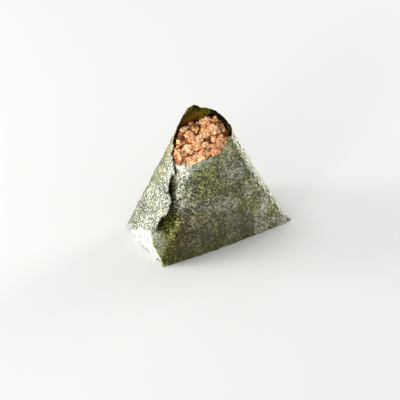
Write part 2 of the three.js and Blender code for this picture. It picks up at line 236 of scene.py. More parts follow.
# Front left, front right, back right and back left corner of the body at the table, how much each
# leans in along X for each mm of height, how far along Y by the top, and its ways inwards.
CORNER_FOOT = np.array([(-47.0, -23.0), (47.8, -22.5), (48.5, 22.0), (-50.4, 23.0)])
CORNER_LEAN = np.array([0.365, -0.486, -0.455, 0.432])
CORNER_CROWN = np.array([11.5, 12.4, -9.5, -10.5])
CORNER_IN = np.array([(1, 1), (-1, 1), (-1, -1), (1, -1)])


def reach(height):
    """Height that counts for the lean: z - s ln(1 + e^((z - shoulder) / s)), which is z below
    the shoulder and stays at it above."""
    return height - SHOULDER_SOFT * np.log1p(np.exp((height - SHOULDER) / SHOULDER_SOFT))


def corner(which, height, inset):
    """Corner of the body: foot + lean * reach along X, foot + crown * (z / tall)^2 along Y, moved
    inwards by inset along both."""
    which = np.mod(which, 4)
    lean = CORNER_LEAN[which] * reach(height)
    crown = CORNER_CROWN[which] * (height / TALL) ** 2
    x = CORNER_FOOT[which, 0] + lean + CORNER_IN[which, 0] * inset
    y = CORNER_FOOT[which, 1] + crown + CORNER_IN[which, 1] * inset
    return np.stack([x, y], -1)


def step_towards(start, end, length):
    """Point on the line from start to end, at a length that is softly kept under CUT_MOST of it:
    c / (1 + (c / m)^4)^(1/4)."""
    way = end - start
    whole = np.linalg.norm(way, axis=-1)
    kept = length / (1 + (length / (CUT_MOST * whole)) ** 4) ** 0.25
    return start + way * (kept / whole)[..., None]


def outline(station, height, inset=0.0):
    """Point of the body's skin. The running station goes round it in eight steps, seen from above
    anticlockwise: a corner, from 0 to 1, 2 to 3, 4 to 5 and 6 to 7, is a parabola between the ends
    of its cut, and the face after it is a chord with a bulge of 4 b t (1 - t)."""
    station, height, inset = np.broadcast_arrays(
        np.asarray(station, float), np.asarray(height, float), np.asarray(inset, float))
    turn = np.mod(station, STATIONS)
    which = (turn // 2).astype(int)
    share = turn - 2 * which
    before = corner(which - 1, height, inset)
    here = corner(which, height, inset)
    after = corner(which + 1, height, inset)
    cut = CUT_AT_FOOT + CUT_GROWTH * reach(height)
    arc_start = step_towards(here, before, cut)
    arc_end = step_towards(here, after, cut)
    next_start = step_towards(after, here, cut)
    t = share[..., None]
    arc = (1 - t) ** 2 * arc_start + 2 * t * (1 - t) * here + t ** 2 * arc_end
    t = t - 1
    side = next_start - arc_end
    length = np.linalg.norm(side, axis=-1, keepdims=True)
    outwards = np.stack([side[..., 1], -side[..., 0]], -1) / length
    swell = BULGE * np.minimum(1, length / BULGE_FULL) * 4 * t * (1 - t)
    face = arc_end + side * t + outwards * swell
    flat = np.where(share[..., None] < 1, arc, face)
    return np.concatenate([flat, height[..., None]], -1)


def middle(height):
    """Middle of the body's four corners at a height."""
    four = corner(np.arange(4), np.full(4, float(height)), 0.0)
    return np.array([*four.mean(0), height])


def ring_faces(rings, around):
    """Faces of a closed skin of a first point, rings that run anticlockwise seen from the last
    point, and that last point: fans at both ends and squares between."""
    k = np.arange(around)
    after = (k + 1) % around
    low = 1 + around * np.arange(rings - 1)[:, None]
    squares = np.stack([low + k, low + after, low + around + after, low + around + k], -1)
    last = 1 + rings * around
    first_fan = np.stack([0 * k, 1 + after, 1 + k], -1)
    last_fan = np.stack([0 * k + last, last - around + k, last - around + after], -1)
    return squares.reshape(-1, 4), np.concatenate([first_fan, last_fan])


def new_piece(name, points, faces, material, node):
    """A smooth-shaded mesh from points in mm and arrays of faces, with the given material, which stands
    in for a node of the frame: that node's part is hidden."""
    mesh = bpy.data.meshes.new(name)
    corners = [face for array in faces for face in array.tolist()]
    mesh.from_pydata((np.reshape(points, (-1, 3)) * MM).tolist(), [], corners)
    mesh.materials.append(material)
    mesh.shade_smooth()
    piece = bpy.data.objects.new(name, mesh)
    bpy.context.scene.collection.objects.link(piece)
    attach(piece, "root")
    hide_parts(node)
    return piece


def keep(piece, name, numbers):
    """Keeps a number for each point of a piece, for its material."""
    attribute = piece.data.attributes.new(name, "FLOAT", "POINT")
    attribute.data.foreach_set("value", np.ravel(numbers).astype(np.float32))


WAVES_UNEVEN = (0.7, 1.5)


def waves(points, length, count, seed):
    """Smooth random relief of about unit height: a sum of plane waves of about one wavelength in
    random directions."""
    draw = np.random.default_rng(seed)
    ways = draw.normal(size=(count, 3))
    ways /= np.linalg.norm(ways, axis=1, keepdims=True)
    ways *= 2 * np.pi / (length * draw.uniform(*WAVES_UNEVEN, (count, 1)))
    phases = draw.uniform(0, 2 * np.pi, count)
    return np.sin(points @ ways.T + phases).sum(-1) * np.sqrt(2 / count)


RICE_INSET = 1.2
RICE_TOP = 60.0
RICE_FOOT_ROUND = 6.0
RICE_TOP_ROUND = 2.5
BLOCK_AROUND = 220
BLOCK_SIDE_RINGS = 60
BLOCK_ROUND_RINGS = 8
# Painted shade: the block shows between the grains in the darker, shaded rice colour.
BLOCK_PAINTED_SHADE = 0.9
RICE_SHADED = (0.24, 0.21, 0.15, 1.0)


def rice_paint():
    """Cooked rice: warm white, see-through just under the skin, each grain a little different and with
    a moist shine. A darker, shaded rice colour is painted shade, on the block between the grains and on
    each grain's underside."""
    paint = Paint("rice")
    place = paint.place()
    colour = paint.ramp(paint.noise(place, 260.0, 3.0), [
        (0.30, (0.50, 0.465, 0.37)),
        (0.55, (0.61, 0.585, 0.505)),
        (0.75, (0.72, 0.705, 0.64)),
    ])
    skin = paint.noise(place, 900.0, 2.0)
    return paint.finish(paint.shader({
        "Base Color": paint.over(paint.kept("deep"), colour, RICE_SHADED),
        "Roughness": skin * 0.25 + 0.25,
        "Normal": paint.bump(0.35, 0.15, skin),
        "Subsurface Weight": 0.35,
        "Subsurface Radius": (1.0, 0.9, 0.7),
        "Subsurface Scale": 1.6 * MM,
        "IOR": 1.42,
    }))


rice_material = rice_paint()

bend = np.linspace(np.pi / 2, 0, BLOCK_ROUND_RINGS, endpoint=False)
foot_heights = RICE_FOOT_ROUND * (1 - np.sin(bend))
foot_insets = RICE_FOOT_ROUND * (1 - np.cos(bend))
side_heights = np.linspace(RICE_FOOT_ROUND, RICE_TOP - RICE_TOP_ROUND, BLOCK_SIDE_RINGS, endpoint=False)
bend = np.linspace(0, np.pi / 2, BLOCK_ROUND_RINGS)
top_heights = RICE_TOP - RICE_TOP_ROUND * (1 - np.sin(bend))
top_insets = RICE_TOP_ROUND * (1 - np.cos(bend))
block_heights = np.concatenate([foot_heights, side_heights, top_heights])
block_insets = RICE_INSET + np.concatenate([foot_insets, 0 * side_heights, top_insets])
block_stations = np.linspace(0, STATIONS, BLOCK_AROUND, endpoint=False)
block_rings = outline(block_stations[None, :], block_heights[:, None], block_insets[:, None])
block_points = np.concatenate([[middle(0.0)], block_rings.reshape(-1, 3), [middle(RICE_TOP)]])
block = new_piece("rice_block", block_points, ring_faces(len(block_heights), BLOCK_AROUND),
                  rice_material, "rice")
keep(block, "deep", np.full(len(block_points), BLOCK_PAINTED_SHADE))

GRAIN_LONG = 5.8
GRAIN_THICK = 2.7
GRAIN_BLUNT = 2.6
GRAIN_FLAT = 0.88
GRAIN_SAG = 0.25
GRAIN_RINGS = 9
GRAIN_AROUND = 12


def grain_template():
    """One grain along X: at s from -1 to 1 a ring of radius (1 - |s|^blunt)^(1/2), a little flatter
    than wide, and sagging by sag * s^2 towards its ends."""
    s = np.sin(np.linspace(-np.pi / 2, np.pi / 2, GRAIN_RINGS + 2)[1:-1])[:, None]
    round_it = np.linspace(0, 2 * np.pi, GRAIN_AROUND, endpoint=False)[None, :]
    radius = np.sqrt(1 - np.abs(s) ** GRAIN_BLUNT)
    across = radius * np.cos(round_it)
    up = GRAIN_FLAT * radius * np.sin(round_it)
    rings = np.stack([s + 0 * across, across, up - GRAIN_SAG * s ** 2], -1)
    return np.concatenate([[(-1, 0, -GRAIN_SAG)], rings.reshape(-1, 3), [(1, 0, -GRAIN_SAG)]])


def scatter(template, faces, centres, frames, sizes):
    """Copies of a template, or of one template for each, as one mesh: for every copy it is
    centre + (template * size) @ frame."""
    points = centres[:, None, :] + (template * sizes[:, None, :]) @ frames
    starts = points.shape[1] * np.arange(len(centres))[:, None, None]
    return points, [(array[None] + starts).reshape(-1, array.shape[1]) for array in faces]


SKIN_STEP, SKIN_STEP_UP = 0.01, 0.5


def skin_frames(station, height, inset, angle, tip):
    """Directions of a grain that lies on the body's skin: along it at an angle from level and with
    one end tipped outwards, across it, and out of it."""
    here = outline(station, height, inset)
    along = outline(station + SKIN_STEP, height, inset) - outline(station - SKIN_STEP, height, inset)
    along /= np.linalg.norm(along, axis=-1, keepdims=True)
    up = outline(station, height + SKIN_STEP_UP, inset)
    up = up - outline(station, height - SKIN_STEP_UP, inset)
    out = np.cross(along, up)
    out /= np.linalg.norm(out, axis=-1, keepdims=True)
    up = np.cross(out, along)
    angle, tip = angle[:, None], tip[:, None]
    lying = np.cos(angle) * along + np.sin(angle) * up
    long_way = np.cos(tip) * lying + np.sin(tip) * out
    across = np.cross(out, lying)
    return here, np.stack([long_way, across, np.cross(long_way, across)], 1)


# ==== nori ======================================================================================
# One sheet of toasted seaweed, wound round the block askew: it starts slanting back under the
# front left corner, goes round by the right and the back, and its torn outer end laps over the
# start on the left. Dark olive, mottled with green and grey, thin, crinkled and slightly glossy.

NORI_THICK = 0.6
NORI_COLUMNS = 440
NORI_ROWS = 104
FIRST_STATION = -0.8
LAST_STATION = 8.1
END_SPREAD = 2.0
LAP = 0.9
LAP_FROM, LAP_TO = 6.9, 7.35
SPRING = 1.3
LIFT = 2.6
FREE_FROM, FREE_TO = 7.3, 8.0
HELD = 0.8
HELD_FROM, HELD_TO = 49.0, 55.0
LOW_CORNER = (0.05, 0.95)

# Cockles are slow waves, as (rate round the body, rate up it, phase): the second cuts across the
# first, and the third is lower.
COCKLE = 0.3
COCKLE_WAVES = [(2.1, 0.11, 0), (0.9, -0.17, 1), (5.3, 0.07, 2)]
COCKLE_LOWER = 0.5

# Corners pinched out where the sheet was folded round the foot: station, and pull along X and Y.
TIPS = [(2.55, 2.9, -0.5), (6.5, -0.9, 0.3)]
TIP_WIDTH = 0.33
TIP_HEIGHT = 6.0

# Edges as (station, height), and ends as (share of the height, station).
FOOT_EDGE = [
    (-0.8, 0.4), (4.6, 0.4), (5.4, 1.4), (6.2, 3.0), (6.5, 3.0), (6.75, 4.4), (6.95, 7.0),
    (7.15, 10.0), (7.45, 14.4), (7.85, 22.0),
]
TOP_EDGE = [
    (-0.8, 50.0), (0.0, 56.0), (0.28, 60.5), (0.52, 65.0), (0.78, 66.5), (1.2, 67.8),
    (1.6, 68.6), (1.9, 69.6), (2.1, 71.3), (2.25, 73.6), (2.45, 76.0), (2.8, 77.0),
    (3.5, 76.6), (4.0, 76.6), (4.3, 78.0), (4.6, 80.0), (5.0, 83.6), (5.3, 85.6),
    (5.7, 86.9), (6.0, 87.3), (6.2, 85.6), (6.4, 81.5), (6.62, 75.0), (6.85, 69.0),
    (7.05, 65.6), (7.6, 62.0), (8.05, 55.5),
]
# A shred that hangs from the foot edge: station, its half width there, and how far it hangs.
SHRED = (7.12, 0.035, 4.5)

# A crease where the front was tucked round the right corner, as (height, station).
CREASE = [(0.0, 1.75), (6.0, 1.77), (28.0, 1.9), (40.0, 2.09), (51.0, 2.3), (77.0, 2.35)]
CREASE_STEP = 0.9
CREASE_WIDE = 9.0

INNER_END = [
    (0.0, 0.65), (0.07, 0.25), (0.11, -0.04), (0.16, -0.2), (0.22, -0.3), (0.3, -0.42),
    (0.6, -0.6), (1.0, -0.72),
]
OUTER_END = [
    (0.0, 7.86), (0.07, 7.86), (0.14, 7.88), (0.3, 7.95), (0.45, 8.12), (0.55, 8.13),
    (0.63, 8.13), (0.7, 7.93), (0.81, 7.84), (0.9, 7.85), (0.97, 7.96), (1.0, 8.0),
]


def through(stops, at):
    """Smooth curve through (position, value) stops: cubic between two of them, with the slope at
    each that of the line between its neighbours."""
    x, y = np.array(stops, float).T
    slope = np.empty_like(x)
    slope[1:-1] = (y[2:] - y[:-2]) / (x[2:] - x[:-2])
    slope[0] = (y[1] - y[0]) / (x[1] - x[0])
    slope[-1] = (y[-1] - y[-2]) / (x[-1] - x[-2])
    at = np.clip(at, x[0], x[-1])
    i = np.clip(np.searchsorted(x, at, side="right") - 1, 0, len(x) - 2)
    wide = x[i + 1] - x[i]
    t = (at - x[i]) / wide
    return ((2 * t ** 3 - 3 * t ** 2 + 1) * y[i] + (t ** 3 - 2 * t ** 2 + t) * wide * slope[i]
            + (3 * t ** 2 - 2 * t ** 3) * y[i + 1] + (t ** 3 - t ** 2) * wide * slope[i + 1])


def smooth(at, start, end):
    """3 t^2 - 2 t^3 for t from start to end."""
    t = np.clip((at - start) / (end - start), 0, 1)
    return t * t * (3 - 2 * t)


def bell(distance, width):
    """e^(-(d / w)^2)."""
    return np.exp(-(distance / width) ** 2)


RAGS = 4
RAG_SHORTER, RAG_LOWER = 1.9, 0.62
RAG_UNEVEN = (0.8, 1.25)


def ragged(at, length, seed):
    """Torn edge of about unit height: a one-way sum of waves that get shorter and lower."""
    draw = np.random.default_rng(seed)
    total = 0.0
    for rag in range(RAGS):
        phase = draw.uniform(0, 2 * np.pi, 3)
        rate = 2 * np.pi * RAG_SHORTER ** rag / length * draw.uniform(*RAG_UNEVEN, 3)
        total = total + RAG_LOWER ** rag * sum(np.sin(at * r + p) for r, p in zip(rate, phase)) / 2
    return total


def stand_off(station, height, share):
    """How far the outer face stands off the body: the lap rides over the inner end, its free end
    springs off below where it is pressed down and lifts at its lower corner, and the whole sheet
    is cockled by sines of the station and the height."""
    low = 1 - smooth(share, *LOW_CORNER)
    broad, across, finer = (np.sin(a * station + b * height + c) for a, b, c in COCKLE_WAVES)
    cockles = COCKLE * (broad * across + COCKLE_LOWER * finer) / (1 + COCKLE_LOWER)
    free = (SPRING + LIFT * low) * smooth(station, FREE_FROM, FREE_TO)
    free = free * (1 - HELD * smooth(height, HELD_FROM, HELD_TO))
    return LAP * smooth(station, LAP_FROM, LAP_TO) + free + cockles


RUN_STEPS = 4000
RUN_HEIGHT = 25.0
END_TALL = 60.0
INNER_RAG, INNER_RAG_LONG = 0.010, 3.0
OUTER_RAG, OUTER_RAG_LONG = 0.006, 8.0
FOOT_RAG, FOOT_RAG_LONG, FOOT_RAG_SHARE, FOOT_RAG_DROP = 0.25, 4.0, 0.6, 0.6
FOOT_LEAST = 0.1
TOP_RAG, TOP_RAG_LONG = 0.28, 6.5


def sheet_grid():
    """Station and height of the sheet's points: even steps along it, stretched to its torn ends,
    by even shares of the way from its foot edge to its top edge. Then the edges' heights, the
    shares, and each point's way to the outer end and to the nearest edge in mm."""
    run = np.linspace(FIRST_STATION, LAST_STATION, RUN_STEPS)
    walked = np.linalg.norm(np.diff(outline(run, RUN_HEIGHT), axis=0), axis=1).cumsum()
    walked = np.concatenate([[0.0], walked])
    even = np.interp(np.linspace(0, walked[-1], NORI_COLUMNS + 1), walked, run)[None, :]
    share = np.linspace(0, 1, NORI_ROWS + 1)[:, None]
    near_start = np.clip(1 - (even - FIRST_STATION) / END_SPREAD, 0, 1)
    near_end = np.clip(1 - (LAST_STATION - even) / END_SPREAD, 0, 1)
    start = through(INNER_END, share) + INNER_RAG * ragged(share * END_TALL, INNER_RAG_LONG, 5)
    end = through(OUTER_END, share) + OUTER_RAG * ragged(share * END_TALL, OUTER_RAG_LONG, 6)
    station = even + (start - FIRST_STATION) * near_start + (end - LAST_STATION) * near_end
    along = np.interp(station, run, walked)
    foot = through(FOOT_EDGE, station) - SHRED[2] * bell(station - SHRED[0], SHRED[1])
    foot_rag = np.minimum(FOOT_RAG, FOOT_RAG_SHARE * foot)
    foot = np.maximum(foot + foot_rag * (ragged(along, FOOT_RAG_LONG, 7) - FOOT_RAG_DROP), FOOT_LEAST)
    top = through(TOP_EDGE, station) + TOP_RAG * ragged(along, TOP_RAG_LONG, 8)
    height = foot + (top - foot) * share
    from_start = np.abs(along - np.interp(start, run, walked))
    to_end = np.abs(np.interp(end, run, walked) - along)
    edge = np.minimum(np.minimum(height - foot, top - height), np.minimum(from_start, to_end))
    return station, height, foot, top, share, to_end, edge


# Crinkles as (height, wavelength, number of waves, seed).
CRINKLES = [(0.15, 7.0, 30, 11), (0.09, 2.8, 40, 12), (0.04, 1.7, 40, 13)]

# A pair in what follows is where a thing fades in or out, in stations or in mm.
CRISP_ON_LAP = (6.6, 7.3)
CRISP_LEAST = 0.3
CRISP_FROM_END = (0.0, 5.0)
CRISP_CORNER, CRISP_CORNER_WIDE, CRISP_CORNER_SHARE = 0.5, 0.45, 0.9
CRISP_CORNER_UP = (18.0, 34.0)
CRISP_HIGH, CRISP_LONG = 0.38, 3.0
CRISP_FINE_HIGH, CRISP_FINE_LONG = 0.06, 1.6
RUMPLE_LONG = 17.0
RUMPLED = (-1.0, 1.2)
STREAK_CORNER, STREAK_CORNER_WIDE = 2.5, 0.45
STREAK_HIGH, STREAK_LONG = 0.22, 2.6
STREAK_STRETCH = np.array([1.0, 0.6, 0.12])
CREASE_ROUND = (-0.7, 0.7)
CREASE_ON, CREASE_OFF = (1.2, 1.5), (2.7, 3.2)
CREASE_UP = (0.0, 5.0)


def sheet_relief(bare, station, height, to_end, past, tucked):
    """Relief of the sheet: small crinkles all over, crisper ones in rumpled patches on the lap and
    round the front left corner, streaks up the front right corner, and a step at the crease that
    dies away as e^(-d / w)."""
    relief = sum(high * waves(bare, long, count, seed) for high, long, count, seed in CRINKLES)
    near_end = CRISP_LEAST + (1 - CRISP_LEAST) * smooth(to_end, *CRISP_FROM_END)
    crisp = smooth(station, *CRISP_ON_LAP) * near_end
    once_round = np.mod(station + 1, STATIONS) - 1
    at_corner = bell(once_round - CRISP_CORNER, CRISP_CORNER_WIDE) * smooth(height, *CRISP_CORNER_UP)
    crisp = crisp + CRISP_CORNER_SHARE * at_corner
    rumpled = smooth(waves(bare, RUMPLE_LONG, count=20, seed=17), *RUMPLED)
    relief += CRISP_HIGH * crisp * rumpled * (1 + waves(bare, CRISP_LONG, count=40, seed=14))
    relief += CRISP_FINE_HIGH * crisp * waves(bare, CRISP_FINE_LONG, count=40, seed=16)
    streaks = waves(bare * STREAK_STRETCH, STREAK_LONG, count=30, seed=15)
    relief += STREAK_HIGH * bell(station - STREAK_CORNER, STREAK_CORNER_WIDE) * streaks
    step = np.exp(-np.maximum(past, 0) / CREASE_WIDE) * smooth(height, *CREASE_UP)
    return relief + CREASE_STEP * tucked * step


# Marks as (station, its width, height, its width).
RUST = (0.85, 0.4, 17.0, 15.0)
MOSS = (0.95, 0.42, 54.0, 11.0)
MOSS_SHARE = 1.4
DUST = (1.2, 0.35, 38.0, 9.0)
GREY_SHEEN_ON_FLAP, GREY_SHEEN_ON_FLAP_TO = 0.8, (40.0, 60.0)
FLAP_FROM = (6.8, 7.3)
SHEEN_STATION, SHEEN_WIDE, SHEEN_DOWN = 0.95, 0.38, 3.2
SHEEN_ON_FLAP = 0.2
MILK_FROM, MILK_TO, MILK_UP = (0.12, 0.28), (0.52, 0.62), (54.0, 60.0)
GLINT_STATION, GLINT_WIDE, GLINT_START, GLINT_UP = 0.5, 0.36, -0.3, (30.0, 44.0)
GLOW_WIDE, GLOW_UP_TO = (0.5, 1.7), (18.0, 24.0)
GLOW_FRONT_TO, GLOW_LEFT, GLOW_LEFT_FROM, GLOW_LEFT_TO = 1.0, 0.6, (6.4, 6.6), (6.9, 7.05)
AWAY_FROM, AWAY_TO, AWAY_DAMP = (2.6, 3.2), (6.3, 6.9), 0.8
DAMP_UP_TO, FLAP_DRY = (4.0, 34.0), 1.5
UNDER_FROM, UNDER_TO = 0.24, 0.48
UNDER_UP, UNDER_FADE, UNDER_FADE_SHARE = (15.0, 24.0), (50.0, 56.0), 0.8
FILLING_SLOPE = 0.36
FILLING_RISE = 0.024
STAIN_LEVEL, STAIN_TALL, STAIN_FROM, STAIN_TO = 66.0, 5.5, (4.6, 5.6), (7.6, 8.0)
CREASE_SHADE_WIDE, CREASE_SHADE_UP = 0.7, (24.0, 36.0)
PAINTED_LIGHT_UP, PAINTED_LIGHT_FROM = (28.0, 56.0), (1.2, 1.7)
DULL_STATION, DULL_WIDE, DULL_SHARE, DULL_UP_TO = 0.6, 0.6, 0.8, (22.0, 38.0)

# How much lighter or darker the sheet is under each of its marks. The paler tucked facet, flap and
# upper part past the front right corner are painted light; the darker foot, far sides, strip under the
# lap and crease are painted shade; rust is the sheet's own colour.
PALER = {"tucked": 0.13, "flap": 0.01, "damp_and_shade": -0.17, "away": -0.10, "under": -0.34, "rust": -0.13,
         "crease shade": -0.16, "painted_light": 0.07}


def patch(station, height, centre, wide, level, tall):
    """A soft round patch: a bell over the station times a bell over the height."""
    return bell(station - centre, wide) * bell(height - level, tall)


def sheet_marks(bare, station, height, top, share, edge, past, tucked):
    """Where the sheet's look changes, as products of fades and bells over station and height: its free
    flap, a bluish painted sheen under the top edge and over the flap, a milky film and painted silvery
    glints at the front left corner, edges painted as if light shines through them, the dull part under
    the lap and its painted shade, rust, moss and dusty patches with a painted grey sheen low on the
    flap, the moist foot and far sides and the painted shade on them, the salmon's stain inside, painted
    shade along the crease, painted light high up from the front right corner on, and how pale it all
    is."""
    flap = smooth(station, *FLAP_FROM)
    # Painted sheen: a bluish grey under the top edge at the front left corner and over the flap.
    painted_sheen = bell(station - SHEEN_STATION, SHEEN_WIDE) * bell(top - height, SHEEN_DOWN) + SHEEN_ON_FLAP * flap
    milk = smooth(station, *MILK_FROM) * (1 - smooth(station, *MILK_TO)) * smooth(height, *MILK_UP)
    # Painted glints: silvery threads at the front left corner, which is also made glossier.
    glints_and_gloss = bell(station - GLINT_STATION, GLINT_WIDE) * smooth(height, *GLINT_UP)
    glints_and_gloss = glints_and_gloss * (station > GLINT_START)
    # Painted light: edges low on the front and on the left end look lit through, in yellow green.
    glow_left = smooth(station, *GLOW_LEFT_FROM) * (1 - smooth(station, *GLOW_LEFT_TO))
    glow = (station < GLOW_FRONT_TO) + GLOW_LEFT * glow_left
    glow = glow * (1 - smooth(edge, *GLOW_WIDE)) * (1 - smooth(height, *GLOW_UP_TO))
    # Painted shade: the far sides, from the right end round the back, are darker.
    away = smooth(station, *AWAY_FROM) * (1 - smooth(station, *AWAY_TO))
    # Painted shade: the foot and the far sides are darker; they are also damp, so rougher and less
    # mottled.
    damp_and_shade = (1 - smooth(height, *DAMP_UP_TO)) * (1 - flap) * (1 - tucked) * (1 - away)
    damp_and_shade = damp_and_shade + AWAY_DAMP * away - FLAP_DRY * flap
    # Painted shade: the strip under the lap's free edge, where the lap casts its shadow, is darker and
    # takes the dull shader.
    lap_end = through(OUTER_END, share) - STATIONS
    under = 1 - smooth(station, lap_end + UNDER_FROM, lap_end + UNDER_TO)
    under = under * smooth(height, *UNDER_UP) * (1 - UNDER_FADE_SHARE * smooth(height, *UNDER_FADE))
    rust = patch(station, height, *RUST)
    moss = MOSS_SHARE * patch(station, height, *MOSS)
    dust_and_sheen = patch(station, height, *DUST)
    # Painted sheen: the grey film spreads over the lower flap, standing in for its sheen.
    dust_and_sheen = dust_and_sheen + GREY_SHEEN_ON_FLAP * flap * (1 - smooth(height, *GREY_SHEEN_ON_FLAP_TO))
    filled_to = STAIN_LEVEL + FILLING_SLOPE * bare[..., 1] + FILLING_RISE * bare[..., 1] ** 2
    stain = smooth(station, *STAIN_FROM) * (1 - smooth(station, *STAIN_TO))
    stain = stain * bell(height - filled_to, STAIN_TALL)
    # Painted shade: a dark line along the crease.
    crease_shade = bell(past, CREASE_SHADE_WIDE) * smooth(height, *CREASE_SHADE_UP) * smooth(station, *CREASE_ON)
    crease_shade = crease_shade * (station < CREASE_OFF[1])
    # Painted light: the upper part from the front right corner on is paler.
    painted_light = smooth(height, *PAINTED_LIGHT_UP) * smooth(station, *PAINTED_LIGHT_FROM)
    shares = {"tucked": tucked, "flap": flap, "damp_and_shade": np.maximum(damp_and_shade, 0), "away": away,
              "under": under, "rust": rust, "crease shade": crease_shade, "painted_light": painted_light}
    pale = sum(PALER[name] * shares[name] for name in PALER)
    worn = DULL_SHARE * bell(station - DULL_STATION, DULL_WIDE) * (1 - smooth(height, *DULL_UP_TO))
    return {
        "painted_sheen": painted_sheen, "milk": milk, "glints_and_gloss": glints_and_gloss, "glow": glow, "damp_and_shade": damp_and_shade,
        "dull": np.minimum(under + worn, 1.0), "rust": rust, "moss": moss, "dust_and_sheen": dust_and_sheen,
        "stain": stain, "pale": pale}


EDGE_THIN = 0.25
EDGE_TAPER = 2.0


def nori_sheet():
    """The sheet's outer and inner face on a grid, thinner towards its edges and with its corners
    pinched out, and its marks."""
    station, height, foot, top, share, to_end, edge = sheet_grid()
    bare = outline(station, height)
    past = bare[..., 0] - outline(through(CREASE, height), height)[..., 0]
    tucked = smooth(past, *CREASE_ROUND) * smooth(station, *CREASE_ON)
    tucked = tucked * (1 - smooth(station, *CREASE_OFF))
    relief = sheet_relief(bare, station, height, to_end, past, tucked)
    off = stand_off(station, height, share) + relief
    thick = NORI_THICK * (EDGE_THIN + (1 - EDGE_THIN) * smooth(edge, 0.0, EDGE_TAPER))
    faces = []
    for inset in (0.0, thick):
        face = outline(station, height, inset - off)
        for tip_station, pull_x, pull_y in TIPS:
            pull = bell(station - tip_station, TIP_WIDTH) * np.exp((foot - height) / TIP_HEIGHT)
            face[..., 0] += pull_x * pull
            face[..., 1] += pull_y * pull
        faces.append(face)
    return np.stack(faces), sheet_marks(bare, station, height, top, share, edge, past, tucked)


def sheet_faces(rows, columns):
    """Faces of a thin closed sheet whose outer grid comes first and inner grid second."""
    count = (rows + 1) * (columns + 1)
    grid = np.arange(count).reshape(rows + 1, columns + 1)
    outer = np.stack([grid[:-1, :-1], grid[:-1, 1:], grid[1:, 1:], grid[1:, :-1]], -1).reshape(-1, 4)
    inner = outer[:, ::-1] + count
    rim = []
    for line in (grid[0], grid[:, -1], grid[-1, ::-1], grid[::-1, 0]):
        rim.append(np.stack([line[:-1] + count, line[1:] + count, line[1:], line[:-1]], -1))
    return np.concatenate([outer, inner, *rim])


NORI_WARP = 2.2
NORI_STRETCH = (0.76, 0.76, 1.12)
NORI_TONE = 0.176
RUST_TINT = (1.12, 0.94, 0.72, 1.0)
MOSS_TINT = (0.88, 0.90, 0.50, 1.0)
PAINTED_GLINT_COLOUR = (0.50, 0.51, 0.43, 1.0)
BLUE_PAINTED_SHEEN = (0.36, 0.42, 0.36, 1.0)
MILKY_FILM = (0.66, 0.68, 0.55, 1.0)
SALMON_JUICE = (0.16, 0.066, 0.006, 1.0)
LIT_THROUGH = (0.38, 0.40, 0.09, 1.0)


